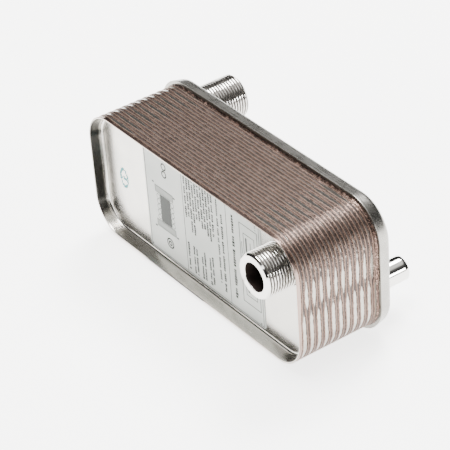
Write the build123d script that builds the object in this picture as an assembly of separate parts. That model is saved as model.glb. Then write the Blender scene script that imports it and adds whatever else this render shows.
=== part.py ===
from build123d import *
import math
import os

# Brazed plate heat exchanger, lying on one long side. Sizes in millimetres.
# X runs along the plates, Y through the stack from the label side to the rear, Z is up.
# The origin is on the floor, below the middle of the whole exchanger.
# Every plate is a shallow tray whose flange opens towards -Y and nests in the next tray.

# Outline of the plate pack, over the edges of the flanges
PACK_LENGTH = 194.0
PACK_WIDTH = 80.0
PACK_CORNER = 20.7

# Channel plates
PLATE_COUNT = 21
PLATE_PITCH = 2.42
PLATE_SHEET = 0.4
PLATE_DEPTH = 8.25
FIRST_PLATE_EDGE = 2.65
BRAZE_FILM = 0.05
BRAZE_RUN = 0.7
BRAZE_STEP = 0.35
CONTACT_GAP = 0.02

# Pressed herringbone pattern of a channel plate
RIDGE_PERIOD = 10.0
RIDGE_FLAT = 2.2
RIDGE_ANGLE = 60.0
RIDGE_HEIGHT = PLATE_PITCH - PLATE_SHEET - CONTACT_GAP

# Front cover: a tray of thicker sheet, seen from its open side
FRONT_SHEET = 1.0
FRONT_RECESS = 7.4
FRONT_BEND = 1.6

# Rear cover: a tray of plate, whose whole flange stands proud of the pack
REAR_SHEET = 2.5
REAR_EDGE = 53.2
REAR_BRAZE = 0.5
REAR_BRAZE_STEP = 1.0
REAR_BEND = 3.2
REAR_INNER_BEND = 0.4
COVER_EDGE_ROUND = 0.25

# Ports: the centres form a rectangle, and all four have the same spacing on every plate
PORT_X = 77.0
PORT_Z = 20.0
PORT_HOLE_RADIUS = 9.0
PORT_PAD_RADIUS = 15.0

# Threaded water nipples, 3/4 inch pipe thread, at the upper pair of ports
NIPPLE_RADIUS = 13.2
NIPPLE_BORE_RADIUS = 8.2
NIPPLE_NECK_RADIUS = 12.0
NIPPLE_NECK = 2.2
NIPPLE_CHAMFER = 1.0
NIPPLE_SPIGOT_RADIUS = 11.0
FRONT_NIPPLE_END = -12.4
REAR_NIPPLE_END = 90.3

# Plain solder ports for 1/2 inch copper tube, at the lower pair of ports
SOLDER_RADIUS = 7.25
SOLDER_SOCKET_RADIUS = 6.4
SOLDER_SOCKET = 14.0
SOLDER_BORE_RADIUS = 5.2
SOLDER_END = 85.9
SOLDER_CHAMFER = 0.35

PORT_FIT = 0.05
PORT_BRAZE = 1.0

# Film label and inspection stamp on the floor of the front cover
LABEL_LEFT = -52.3
LABEL_RIGHT = 57.4
LABEL_HALF_HEIGHT = 35.4
LABEL_CORNER = 2.5
LABEL_FILM = 0.15
STAMP_X = -75.5
STAMP_Z = -1.5
STAMP_WIDTH = 9.0
STAMP_HEIGHT = 14.0
STAMP_CORNER = 2.0
STAMP_FILM = 0.05

# Nested flanges: each sheet lies on the next one, so the pitch sets their slope
FLANGE_ANGLE = math.asin((PLATE_SHEET + BRAZE_FILM) / PLATE_PITCH)
FLANGE_SLOPE = math.tan(FLANGE_ANGLE)
FLANGE_SPREAD = 1.0 / math.cos(FLANGE_ANGLE)


def plate_edge(number):
    return FIRST_PLATE_EDGE + (number - 1) * PLATE_PITCH


def plate_back(number):
    return plate_edge(number) + PLATE_DEPTH


LAST_EDGE = plate_edge(PLATE_COUNT)
FRONT_BACK = FRONT_RECESS + FRONT_SHEET
REAR_FLOOR = plate_back(PLATE_COUNT) + BRAZE_FILM
REAR_BACK = REAR_FLOOR + REAR_SHEET

# Each flange surface is an inset from the pack outline, at the stack position of a plate edge
FRONT_OUTER = (PLATE_SHEET + BRAZE_FILM) * FLANGE_SPREAD
REAR_INNER = -REAR_BRAZE * FLANGE_SPREAD
REAR_OUTER = REAR_INNER - REAR_SHEET * FLANGE_SPREAD
EDGE_ROUND_LOSS = COVER_EDGE_ROUND * (FLANGE_SPREAD + FLANGE_SLOPE - 1.0)
REAR_PROUD = -REAR_OUTER - (REAR_EDGE - LAST_EDGE) * FLANGE_SLOPE - EDGE_ROUND_LOSS

# Place of the stack in the frame
CENTRE_Z = PACK_WIDTH / 2 + REAR_PROUD
FRONT_Y = -(FRONT_NIPPLE_END + REAR_NIPPLE_END) / 2

PORTS = {"threaded_port_front": (PORT_X, PORT_Z), "threaded_port_rear": (-PORT_X, PORT_Z),
         "solder_port_right": (PORT_X, -PORT_Z), "solder_port_left": (-PORT_X, -PORT_Z)}


def stack_plane(depth, x=0.0, z=0.0):
    """A plane across the stack, facing the rear, at a depth behind the front cover's edge."""
    return Plane(origin=(x, FRONT_Y + depth, CENTRE_Z + z), x_dir=(1, 0, 0), z_dir=(0, 1, 0))


def flared_block(start, end, edge, inset):
    """A solid between two depths whose sides narrow to the rear at the flange angle.
    Its outline is the pack outline, less the inset, at the depth called edge."""
    shrink = inset + (start - edge) * FLANGE_SLOPE
    outline = RectangleRounded(PACK_LENGTH - 2 * shrink, PACK_WIDTH - 2 * shrink, PACK_CORNER - shrink)
    face = stack_plane(start) * outline
    return extrude(face, amount=end - start, taper=math.degrees(FLANGE_ANGLE))


def round_bar(start, end, x, z, radius):
    """A cylinder along the stack between two depths."""
    bar = Cylinder(radius, end - start, align=(Align.CENTER, Align.CENTER, Align.MIN))
    return stack_plane(start, x, z) * bar


def cone_bar(start, end, x, z, start_radius, end_radius):
    """A cone frustum along the stack between two depths."""
    bar = Cone(start_radius, end_radius, end - start, align=(Align.CENTER, Align.CENTER, Align.MIN))
    return stack_plane(start, x, z) * bar


def edges_at(part, depth):
    """The edges of a part that lie at one depth of the stack."""
    y = FRONT_Y + depth
    return part.edges().filter_by_position(Axis.Y, y - 0.01, y + 0.01)


def herringbone_sheet(back):
    """The pressed sheet: a trapezoid wave swept up and down from the middle line, as chevrons.
    The sheet's lowest face is at the depth called back, and its ridges rise towards -Y."""
    ramp = (RIDGE_PERIOD - 2 * RIDGE_FLAT) / 2
    reach = PACK_LENGTH / 2 + PACK_WIDTH / 2
    ridges = math.ceil(reach / RIDGE_PERIOD)
    lower = []
    for ridge in range(-ridges, ridges):
        start = ridge * RIDGE_PERIOD
        lower.append((start, 0.0))
        lower.append((start + RIDGE_FLAT, 0.0))
        lower.append((start + RIDGE_FLAT + ramp, RIDGE_HEIGHT))
        lower.append((start + 2 * RIDGE_FLAT + ramp, RIDGE_HEIGHT))
    upper = [(x, height + PLATE_SHEET) for x, height in reversed(lower)]
    section = make_face(Polyline(*lower, *upper, close=True))
    # Local x of the section plane is X, local y points to the front
    middle = Plane(origin=(0, FRONT_Y + back, CENTRE_Z), x_dir=(1, 0, 0), z_dir=(0, 0, -1))
    lean = math.radians(RIDGE_ANGLE)
    arm = extrude(middle * section, amount=PACK_WIDTH / 2 / math.sin(lean),
                  dir=(-math.cos(lean), 0, math.sin(lean)))
    other_arm = mirror(arm, about=Plane.XY.offset(CENTRE_Z))
    return arm + other_arm


def port_pad(back, x, z, height):
    """A flat ring around a port hole, at a height above the plate's back, in a round wall
    that closes the ends of the ridges."""
    front = back - RIDGE_HEIGHT - PLATE_SHEET
    wall = round_bar(front, back, x, z, PORT_PAD_RADIUS)
    inside = PORT_PAD_RADIUS - PLATE_SHEET
    if height > 0:
        wall -= round_bar(back - height, back, x, z, inside)
    else:
        wall -= round_bar(front, back - PLATE_SHEET, x, z, inside)
    return wall - round_bar(front, back, x, z, PORT_HOLE_RADIUS)


def channel_plate():
    """The first channel plate: flange, herringbone floor and four port holes.
    The pads at the upper ports lie low, and those at the lower ports lie high."""
    edge = plate_edge(1)
    back = plate_back(1)
    flange = flared_block(edge, back, edge, 0.0)
    flange -= flared_block(edge, back, edge, PLATE_SHEET * FLANGE_SPREAD)
    floor = herringbone_sheet(back) & flared_block(edge, back, edge, PLATE_SHEET * FLANGE_SPREAD / 2)
    for x, z in PORTS.values():
        floor -= round_bar(edge, back, x, z, PORT_PAD_RADIUS - PLATE_SHEET / 2)
    plate = flange + floor
    for x, z in PORTS.values():
        plate += port_pad(back, x, z, 0.0 if z > 0 else RIDGE_HEIGHT)
    return plate


def channel_plates():
    """All channel plates: the even ones are turned half a turn in their own plane."""
    first = channel_plate()
    turn_axis = Axis((0, 0, CENTRE_Z), (0, 1, 0))
    turned = first.rotate(turn_axis, 180)
    plates = {}
    for number in range(1, PLATE_COUNT + 1):
        shape = first if number % 2 else turned
        shift = (number - 1) * PLATE_PITCH
        plates[f"channel_plate_{number:02d}"] = Pos(0, shift, 0) * shape
    return plates


def braze_seam(edge, end, inner, thickness, run, step):
    """Copper between two nested flanges: a film of one thickness from the outer flange's edge
    to a depth called end, and the fillet in front of that edge, which rises to a step."""
    foot = inner + thickness * FLANGE_SPREAD
    film = flared_block(edge, end, edge, inner) - flared_block(edge, end, edge, foot)
    start = edge - run
    low = foot - run * FLANGE_SLOPE
    high = foot - step
    outlines = Sketch()
    for depth, inset in ((start, low), (edge, high)):
        outline = RectangleRounded(PACK_LENGTH - 2 * inset, PACK_WIDTH - 2 * inset, PACK_CORNER - inset)
        outlines += stack_plane(depth) * outline
    fillet = loft(outlines.faces(), ruled=True) - flared_block(start, edge, edge, foot)
    return film + fillet


def braze_seams():
    """The seams of the whole stack: one in front of every channel plate's edge, and a thicker
    one in front of the rear cover's edge."""
    first_edge = plate_edge(1)
    first = braze_seam(first_edge, plate_back(0), PLATE_SHEET * FLANGE_SPREAD, BRAZE_FILM,
                       BRAZE_RUN, BRAZE_STEP)
    seams = {}
    for number in range(1, PLATE_COUNT + 1):
        seams[f"copper_braze_{number:02d}"] = Pos(0, (number - 1) * PLATE_PITCH, 0) * first
    # The flange surfaces are insets at the edge of the last plate, so the seam is laid from there
    slide = (REAR_EDGE - LAST_EDGE) * FLANGE_SLOPE
    last = braze_seam(REAR_EDGE, plate_back(PLATE_COUNT), REAR_INNER + slide, REAR_BRAZE,
                      REAR_EDGE - LAST_EDGE, REAR_BRAZE_STEP)
    seams[f"copper_braze_{PLATE_COUNT + 1:02d}"] = last
    return seams


def front_cover():
    """The recessed front cover with its one port hole."""
    edge = plate_edge(1)
    tray = flared_block(0.0, FRONT_BACK, edge, FRONT_OUTER)
    tray = fillet(edges_at(tray, FRONT_BACK), FRONT_BEND + FRONT_SHEET)
    recess = flared_block(0.0, FRONT_RECESS, edge, FRONT_OUTER + FRONT_SHEET * FLANGE_SPREAD)
    recess = fillet(edges_at(recess, FRONT_RECESS), FRONT_BEND)
    cover = tray - recess
    cover = fillet(edges_at(cover, 0.0), COVER_EDGE_ROUND)
    x, z = PORTS["threaded_port_front"]
    return cover - round_bar(FRONT_RECESS, FRONT_BACK, x, z, NIPPLE_SPIGOT_RADIUS + PORT_FIT)


def rear_cover():
    """The rear cover with its three port holes."""
    tray = flared_block(REAR_EDGE, REAR_BACK, LAST_EDGE, REAR_OUTER)
    tray = fillet(edges_at(tray, REAR_BACK), REAR_BEND)
    hollow = flared_block(REAR_EDGE, REAR_FLOOR, LAST_EDGE, REAR_INNER)
    hollow = fillet(edges_at(hollow, REAR_FLOOR), REAR_INNER_BEND)
    cover = tray - hollow
    cover = fillet(edges_at(cover, REAR_EDGE), COVER_EDGE_ROUND)
    for name, radius in (("threaded_port_rear", NIPPLE_SPIGOT_RADIUS), ("solder_port_right", SOLDER_RADIUS),
                         ("solder_port_left", SOLDER_RADIUS)):
        x, z = PORTS[name]
        cover -= round_bar(REAR_FLOOR, REAR_BACK, x, z, radius + PORT_FIT)
    return cover


def rear_nipple():
    """A water nipple on the rear cover: spigot, neck, threaded barrel and chamfered mouth."""
    x, z = PORTS["threaded_port_rear"]
    neck_end = REAR_BACK + NIPPLE_NECK
    barrel_end = REAR_NIPPLE_END - NIPPLE_CHAMFER
    nipple = round_bar(REAR_FLOOR, REAR_BACK, x, z, NIPPLE_SPIGOT_RADIUS)
    nipple += round_bar(REAR_BACK, neck_end, x, z, NIPPLE_NECK_RADIUS)
    nipple += round_bar(neck_end, barrel_end, x, z, NIPPLE_RADIUS)
    nipple += cone_bar(barrel_end, REAR_NIPPLE_END, x, z, NIPPLE_RADIUS, NIPPLE_RADIUS - NIPPLE_CHAMFER)
    return nipple - round_bar(REAR_FLOOR, REAR_NIPPLE_END, x, z, NIPPLE_BORE_RADIUS)


def front_nipple():
    """The water nipple in the front cover's recess, which points the other way."""
    x, z = PORTS["threaded_port_front"]
    neck_start = FRONT_RECESS - NIPPLE_NECK
    barrel_start = FRONT_NIPPLE_END + NIPPLE_CHAMFER
    nipple = round_bar(FRONT_RECESS, FRONT_BACK, x, z, NIPPLE_SPIGOT_RADIUS)
    nipple += round_bar(neck_start, FRONT_RECESS, x, z, NIPPLE_NECK_RADIUS)
    nipple += round_bar(barrel_start, neck_start, x, z, NIPPLE_RADIUS)
    nipple += cone_bar(FRONT_NIPPLE_END, barrel_start, x, z, NIPPLE_RADIUS - NIPPLE_CHAMFER, NIPPLE_RADIUS)
    return nipple - round_bar(FRONT_NIPPLE_END, FRONT_BACK, x, z, NIPPLE_BORE_RADIUS)


def solder_port(name):
    """A plain solder port: a tube with a wider socket at its mouth."""
    x, z = PORTS[name]
    barrel_end = SOLDER_END - SOLDER_CHAMFER
    tube = round_bar(REAR_FLOOR, barrel_end, x, z, SOLDER_RADIUS)
    tube += cone_bar(barrel_end, SOLDER_END, x, z, SOLDER_RADIUS, SOLDER_RADIUS - SOLDER_CHAMFER)
    tube -= round_bar(REAR_FLOOR, SOLDER_END, x, z, SOLDER_BORE_RADIUS)
    return tube - round_bar(SOLDER_END - SOLDER_SOCKET, SOLDER_END, x, z, SOLDER_SOCKET_RADIUS)


def rear_port_braze(name, radius):
    """The copper fillet round a rear port, where it stands on the cover."""
    x, z = PORTS[name]
    ring = cone_bar(REAR_BACK, REAR_BACK + PORT_BRAZE, x, z, radius + PORT_BRAZE, radius)
    return ring - round_bar(REAR_BACK, REAR_BACK + PORT_BRAZE, x, z, radius)


def front_port_braze():
    """The copper fillet round the front port, where it stands on the cover."""
    x, z = PORTS["threaded_port_front"]
    start = FRONT_RECESS - PORT_BRAZE
    ring = cone_bar(start, FRONT_RECESS, x, z, NIPPLE_NECK_RADIUS, NIPPLE_NECK_RADIUS + PORT_BRAZE)
    return ring - round_bar(start, FRONT_RECESS, x, z, NIPPLE_NECK_RADIUS)


def floor_film(x, z, width, height, corner, thickness):
    """A thin film with rounded corners on the floor of the front cover."""
    outline = RectangleRounded(width, height, corner)
    return extrude(stack_plane(FRONT_RECESS - thickness, x, z) * outline, amount=thickness)


nodes = {"front_cover": front_cover(), "rear_cover": rear_cover()}
nodes.update(channel_plates())
nodes.update(braze_seams())
nodes["threaded_port_front"] = front_nipple()
nodes["threaded_port_rear"] = rear_nipple()
nodes["solder_port_right"] = solder_port("solder_port_right")
nodes["solder_port_left"] = solder_port("solder_port_left")
nodes["port_braze_front"] = front_port_braze()
nodes["port_braze_rear"] = rear_port_braze("threaded_port_rear", NIPPLE_NECK_RADIUS)
nodes["port_braze_right"] = rear_port_braze("solder_port_right", SOLDER_RADIUS)
nodes["port_braze_left"] = rear_port_braze("solder_port_left", SOLDER_RADIUS)
nodes["data_label"] = floor_film((LABEL_LEFT + LABEL_RIGHT) / 2, 0.0, LABEL_RIGHT - LABEL_LEFT,
                                 2 * LABEL_HALF_HEIGHT, LABEL_CORNER, LABEL_FILM)
nodes["inspection_stamp"] = floor_film(STAMP_X, STAMP_Z, STAMP_WIDTH, STAMP_HEIGHT, STAMP_CORNER,
                                       STAMP_FILM)

os.makedirs("parts", exist_ok=True)
for name, shape in nodes.items():
    export_step(shape, f"parts/{name}.step", write_pcurves=False)
    box = shape.bounding_box()
    print(f"{name:22} solids {len(shape.solids())} volume {shape.volume:9.2f} "
          f"x {box.min.X:7.2f} {box.max.X:7.2f} y {box.min.Y:7.2f} {box.max.Y:7.2f} "
          f"z {box.min.Z:7.2f} {box.max.Z:7.2f}")
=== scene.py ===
# %% [markdown]
# # A brazed plate heat exchanger
#
# This lesson dresses a finished CAD model of a brazed plate heat exchanger: a pack of pressed steel
# plates, nested like baking trays and soldered together with copper in a furnace. The CAD model fixes
# every size. Here each part gets the surface that a camera would see: wavy rims, grainy copper
# seams, cut threads and rolled steel.
#
# The CAD parts are hidden, and each is stood for by a surface computed with numpy, since a
# formula gives even faces that take reflections well. Places are read from the CAD boxes.

# %% Load the frame
import bpy
import numpy as np
from math import atan, cos, pi, radians, sin, tan
from mathutils import Matrix, Vector


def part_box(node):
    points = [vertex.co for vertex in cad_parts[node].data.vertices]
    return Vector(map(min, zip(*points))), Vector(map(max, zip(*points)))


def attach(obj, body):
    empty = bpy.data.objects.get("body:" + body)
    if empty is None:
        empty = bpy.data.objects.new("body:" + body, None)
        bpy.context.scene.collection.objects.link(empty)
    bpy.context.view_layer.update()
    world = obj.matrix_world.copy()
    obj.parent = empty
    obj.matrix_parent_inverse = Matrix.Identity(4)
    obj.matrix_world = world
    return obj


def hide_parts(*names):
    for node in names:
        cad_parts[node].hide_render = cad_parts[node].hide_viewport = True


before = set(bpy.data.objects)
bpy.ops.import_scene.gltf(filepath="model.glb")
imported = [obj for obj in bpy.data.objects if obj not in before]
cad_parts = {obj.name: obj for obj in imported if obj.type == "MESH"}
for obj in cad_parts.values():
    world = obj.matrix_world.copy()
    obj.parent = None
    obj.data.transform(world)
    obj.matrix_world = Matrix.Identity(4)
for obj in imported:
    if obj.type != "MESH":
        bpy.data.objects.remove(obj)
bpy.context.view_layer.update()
MM = 0.001

# %% [markdown]
# ## Camera
#
# A long lens far away keeps the parallel plates almost parallel in the picture. The view is given by
# its azimuth and elevation, as a camera operator would say it, and turned a few degrees about the line
# of sight. Three unit vectors (right, up, back) are the columns of the camera's matrix.

# %% Camera
CAMERA_PLACE = Vector((0.8132, -0.5604, 0.7036))
CAMERA_AZIMUTH = radians(56.16)
CAMERA_ELEVATION = radians(34.15)
CAMERA_ROLL = radians(-4.34)
CAMERA_LENS = 170.7


def aim_camera(place, azimuth, elevation, roll, lens):
    """Back is the unit vector towards the camera. Right and up turn about it by the roll."""
    back = Vector((sin(azimuth) * cos(elevation), -cos(azimuth) * cos(elevation), sin(elevation)))
    level = Vector((cos(azimuth), sin(azimuth), 0))
    right = level * cos(roll) + back.cross(level) * sin(roll)
    turn = Matrix((right, back.cross(right), back)).transposed().to_4x4()
    camera = bpy.data.objects.new("studio_camera", bpy.data.cameras.new("studio_camera"))
    camera.data.lens = lens
    camera.data.clip_start, camera.data.clip_end = 0.05, 20
    camera.matrix_world = Matrix.Translation(place) @ turn
    bpy.context.collection.objects.link(camera)
    return camera


bpy.context.scene.camera = aim_camera(CAMERA_PLACE, CAMERA_AZIMUTH, CAMERA_ELEVATION, CAMERA_ROLL,
                                      CAMERA_LENS)
print("camera at", CAMERA_PLACE[:])

# %% [markdown]
# ## Driving sizes
#
# The pack's outline is a rounded rectangle. Every flange leans inwards towards the rear by the same
# angle, so that the trays nest. These few sizes repeat the ones that the CAD model was drawn
# from; where the model's own boxes say them, they are read from there.

# %% Sizes
front_low, front_high = (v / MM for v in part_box("front_cover"))
rear_low, rear_high = (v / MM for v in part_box("rear_cover"))
first_low, first_high = (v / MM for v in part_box("channel_plate_01"))
second_low, _ = (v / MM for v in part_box("channel_plate_02"))
PLATE_COUNT = sum(name.startswith("channel_plate_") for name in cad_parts)
HALF_LENGTH = first_high.x
HALF_WIDTH = (first_high.z - first_low.z) / 2
CENTRE_Z = (first_high.z + first_low.z) / 2
CORNER = 20.7
PITCH = second_low.y - first_low.y
SHEET = 0.4
FILM = 0.05
SLOPE = tan(np.arcsin((SHEET + FILM) / PITCH))
SPREAD = 1 / cos(atan(SLOPE))
PORT_X, PORT_Z = 77.0, 20.0
print(f"{PLATE_COUNT} plates, pitch {PITCH:.2f} mm, outline {HALF_LENGTH:.1f} x {HALF_WIDTH:.1f} mm")

# %% [markdown]
# ## The outline, as a path that surfaces are carried along
#
# A rounded rectangle is walked with one number, the distance along it. The centre of the corner
# circle slides along the straight sides while the normal's angle rests, and rests in the corners while
# the angle turns. So two tables and a straight-line interpolation give the whole outline, and an
# inset outline is the same walk with a smaller radius.

# %% Outline


class Outline:
    """Evenly spaced stations round the pack, from the middle of the right end, up and to the left.
    A point at an inset is the corner centre plus (corner radius - inset) times the normal."""

    def __init__(self, count):
        side_x, side_z = HALF_LENGTH - CORNER, HALF_WIDTH - CORNER
        arc = CORNER * pi / 2
        steps = [0, side_z, arc, 2 * side_x, arc, 2 * side_z, arc, 2 * side_x, arc, side_z]
        knots = np.cumsum(steps)
        self.count = count
        self.length = knots[-1]
        self.along = np.arange(count) / count * self.length
        quarter = np.array([0, 0, 1, 1, 2, 2, 3, 3, 4, 4]) * pi / 2
        centre_x = np.array([1, 1, 1, -1, -1, -1, -1, 1, 1, 1]) * side_x
        centre_z = np.array([0, 1, 1, 1, 1, -1, -1, -1, -1, 0]) * side_z
        self.angle = np.interp(self.along, knots, quarter)
        self.x = np.interp(self.along, knots, centre_x)
        self.z = np.interp(self.along, knots, centre_z)
        self.normal_x, self.normal_z = np.cos(self.angle), np.sin(self.angle)

    def ring(self, inset, y):
        """One closed ring of points, (count, 3) in mm; inset and y may vary along the walk."""
        reach = CORNER - inset
        x = self.x + reach * self.normal_x
        z = self.z + reach * self.normal_z + CENTRE_Z
        return np.stack(np.broadcast_arrays(x, y, z), axis=-1)

    def spine(self, y):
        """The ring shrunk onto the middle line: station i and its mirror image share a point."""
        half = self.count // 2
        share = np.minimum(np.arange(self.count), self.count - np.arange(self.count)) / half
        x = (HALF_LENGTH - HALF_WIDTH) * (1 - 2 * share)
        return np.stack(np.broadcast_arrays(x, y, CENTRE_Z), axis=-1)


coarse = Outline(256)
fine = Outline(768)
print(f"the outline is {coarse.length:.1f} mm round")

# %% [markdown]
# ## Turning a grid of points into a closed mesh
#
# Every piece is a grid: rows of rings. Joining neighbours gives the faces. A tube joins its last row
# to its first. A tray's first and last rows lie on the middle line, where two stations share one point.
# A port hole is made by leaving out the faces inside a circle, pulling the points on its edge onto
# the circle and joining the two sides with a wall. At the end the signed volume tells if the faces
# point outwards, and turns them if not.

# %% Mesh helpers


def hole_walls(index, kept, floor_rows):
    """Faces that join the front and back sheets of a floor round each hole.
    They run between a kept face and a left-out neighbour, against the kept face's direction."""
    rows, columns = kept.shape
    walls = []
    for row_step, column_step, start, end in ((0, -1, (0, 0), (1, 0)), (1, 0, (1, 0), (1, 1)),
                                              (0, 1, (1, 1), (0, 1)), (-1, 0, (0, 1), (0, 0))):
        neighbour = np.roll(kept, (-row_step, -column_step), axis=(0, 1))
        row, column = np.nonzero(kept & ~neighbour)
        inside = row < floor_rows
        row, column = row[inside], column[inside]
        a_row, a_column = row + start[0], (column + start[1]) % columns
        b_row, b_column = row + end[0], (column + end[1]) % columns
        last = len(index) - 1
        walls.append(np.stack([index[b_row, b_column], index[a_row, a_column],
                               index[last - a_row, a_column], index[last - b_row, b_column]], axis=-1))
    return np.concatenate(walls)


def build(name, points, faces, material, slot, *nodes, smooth_angle=40.0, **attributes):
    """Makes the object from points in mm and four-cornered faces, with its normals outwards."""
    used, faces = np.unique(faces, return_inverse=True)
    faces = faces.reshape(-1, 4)
    points = points[used] * MM
    a, b, c, d = (points[faces[:, corner]] for corner in range(4))
    volume = np.einsum("ij,ij->i", a, np.cross(b, c) + np.cross(c, d)).sum() / 6
    if volume < 0:
        faces = faces[:, ::-1]
    mesh = bpy.data.meshes.new(name)
    mesh.from_pydata(points, [], faces)
    mesh.shade_smooth()
    mesh.set_sharp_from_angle(angle=radians(smooth_angle))
    for attribute, values in attributes.items():
        layer = mesh.attributes.new(attribute, "FLOAT", "POINT")
        layer.data.foreach_set("value", values.ravel()[used].astype(np.float32))
    mesh.materials.append(material)
    piece = bpy.data.objects.new(name, mesh)
    bpy.context.collection.objects.link(piece)
    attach(piece, "root")
    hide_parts(*nodes)
    return piece


def grid_faces(index):
    """Four-cornered faces between neighbouring rows and columns; the columns close on themselves."""
    after = np.roll(index, -1, axis=1)
    return np.stack([index[:-1], index[1:], after[1:], after[:-1]], axis=-1)


def tube(name, rows, material, slot, *nodes, **extras):
    """A closed solid from rings whose last row joins the first."""
    rows = np.asarray(rows)
    index = np.arange(rows.shape[0] * rows.shape[1]).reshape(rows.shape[:2])
    faces = grid_faces(np.concatenate([index, index[:1]]))
    return build(name, rows.reshape(-1, 3), faces.reshape(-1, 4), material, slot, *nodes, **extras)


def tray(name, rows, floor_rows, holes, material, slot, *nodes, **extras):
    """A closed sheet from rings that run from the middle line of its front floor, over the rim, to
    the middle line of its back floor, with round holes (x, z, radius) through the floor."""
    rows = np.array(rows)
    count = rows.shape[1]
    index = np.arange(rows.shape[0] * count).reshape(rows.shape[:2])
    mirror = np.minimum(np.arange(count), count - np.arange(count))
    index[0], index[-1] = index[0][mirror], index[-1][mirror]
    faces = grid_faces(index)
    kept = np.ones(faces.shape[:2], bool)
    points = rows.reshape(-1, 3)
    for x, z, radius in holes:
        away = np.hypot(points[:, 0] - x, points[:, 2] - CENTRE_Z - z)
        inside = away[faces].mean(axis=-1) < radius
        inside[floor_rows:] = False
        kept &= ~(inside | inside[::-1])
        edge = np.intersect1d(faces[inside | inside[::-1]], faces[~(inside | inside[::-1])])
        pull = (radius / away[edge])[:, None]
        centre = np.array([x, z + CENTRE_Z])
        points[edge[:, None], [0, 2]] = centre + (points[edge[:, None], [0, 2]] - centre) * pull
    walls = hole_walls(index, kept, floor_rows)
    faces = np.concatenate([faces[kept], walls])
    return build(name, points, faces, material, slot, *nodes, **extras)


def curve(start, corner, end, steps=5):
    """A quadratic curve from start to end, whose tangents meet at the corner point."""
    t = np.linspace(0, 1, steps)[:, None]
    return (1 - t) ** 2 * np.array(start) + 2 * t * (1 - t) * np.array(corner) + t ** 2 * np.array(end)


# %% [markdown]
# ## Steel, copper and ink
#
# Stainless steel is a metal with a warm grey reflection colour. What tells the sheets apart is how
# rough each is and how its fine marks run: covers carry faint rolling lines, the plates are
# stained by copper along their rims, the seams are grainy, and the ports are turned on a lathe.
# Each look is noise in object coordinates, so it stays on the piece. Where it depends on the shape,
# as in a thread's groove, the mesh carries a value per point and the material reads it.

# %% Material helpers


class Finish:
    """A material whose shader is filled in by small steps, with its noises in object coordinates."""

    def __init__(self, name, color, roughness, metallic=1.0):
        self.material = bpy.data.materials.new(name)
        self.material.use_nodes = True
        self.nodes = self.material.node_tree.nodes
        self.links = self.material.node_tree.links
        self.shader = self.nodes["Principled BSDF"]
        self.shader.inputs["Base Color"].default_value = (*color, 1)
        self.shader.inputs["Roughness"].default_value = roughness
        self.shader.inputs["Metallic"].default_value = metallic
        self.place = self.nodes.new("ShaderNodeTexCoord").outputs["Object"]

    def noise(self, size, stretch=(1, 1, 1), detail=3.0):
        """Noise whose grains are size mm across, times the stretch along each axis."""
        mapping = self.nodes.new("ShaderNodeMapping")
        mapping.inputs["Scale"].default_value = [1 / (size * MM * s) for s in stretch]
        self.links.new(self.place, mapping.inputs["Vector"])
        texture = self.nodes.new("ShaderNodeTexNoise")
        texture.inputs["Scale"].default_value = 1.0
        texture.inputs["Detail"].default_value = detail
        self.links.new(mapping.outputs["Vector"], texture.inputs["Vector"])
        return texture.outputs["Fac"]

    def attribute(self, name):
        """A value per point that the mesh carries."""
        node = self.nodes.new("ShaderNodeAttribute")
        node.attribute_name = name
        return node.outputs["Fac"]

    def spread(self, value, low, high, floor=0.3, ceiling=0.7):
        """Maps a value between floor and ceiling to low and high, and clamps it outside them."""
        node = self.nodes.new("ShaderNodeMapRange")
        for socket, number in (("From Min", floor), ("From Max", ceiling), ("To Min", low), ("To Max", high)):
            node.inputs[socket].default_value = number
        self.links.new(value, node.inputs["Value"])
        return node.outputs["Result"]

    def sum(self, first, second, operation="ADD"):
        node = self.nodes.new("ShaderNodeMath")
        node.operation = operation
        self.links.new(first, node.inputs[0])
        self.links.new(second, node.inputs[1])
        return node.outputs["Value"]

    def blend(self, share, first, second):
        """A colour between two; each is a fixed colour or the output of another blend."""
        node = self.nodes.new("ShaderNodeMix")
        node.data_type = "RGBA"
        self.links.new(share, node.inputs["Factor"])
        for socket, color in (("A", first), ("B", second)):
            plug = [s for s in node.inputs if s.name == socket and s.type == "RGBA"][0]
            if isinstance(color, tuple):
                plug.default_value = (*color, 1)
            else:
                self.links.new(color, plug)
        return [s for s in node.outputs if s.type == "RGBA"][0]

    def color(self, value):
        self.links.new(value, self.shader.inputs["Base Color"])

    def roughness(self, value):
        self.links.new(value, self.shader.inputs["Roughness"])

    def metal(self, value):
        self.links.new(value, self.shader.inputs["Metallic"])

    def bump(self, value, depth):
        """Bump of a depth in mm."""
        node = self.nodes.new("ShaderNodeBump")
        node.inputs["Distance"].default_value = depth * MM
        node.inputs["Strength"].default_value = 1.0
        self.links.new(value, node.inputs["Height"])
        self.links.new(node.outputs["Normal"], self.shader.inputs["Normal"])


# %% Rolled stainless for the covers
STEEL = (0.60, 0.575, 0.525)
STEEL_DULL = (0.54, 0.52, 0.485)
STAIN_WARM = (0.24, 0.15, 0.12)
# Near black: a painted dark reflection on the inner wall of the front tray's left end.
DARK_REFLECTION_TINT = (0.05, 0.048, 0.045)
HEAVY_STEEL = (0.32, 0.31, 0.283)
HEAVY_DULL = (0.26, 0.25, 0.23)
ROLLING_LINE = 0.6
HANDLING_MARK = 9.0


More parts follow.
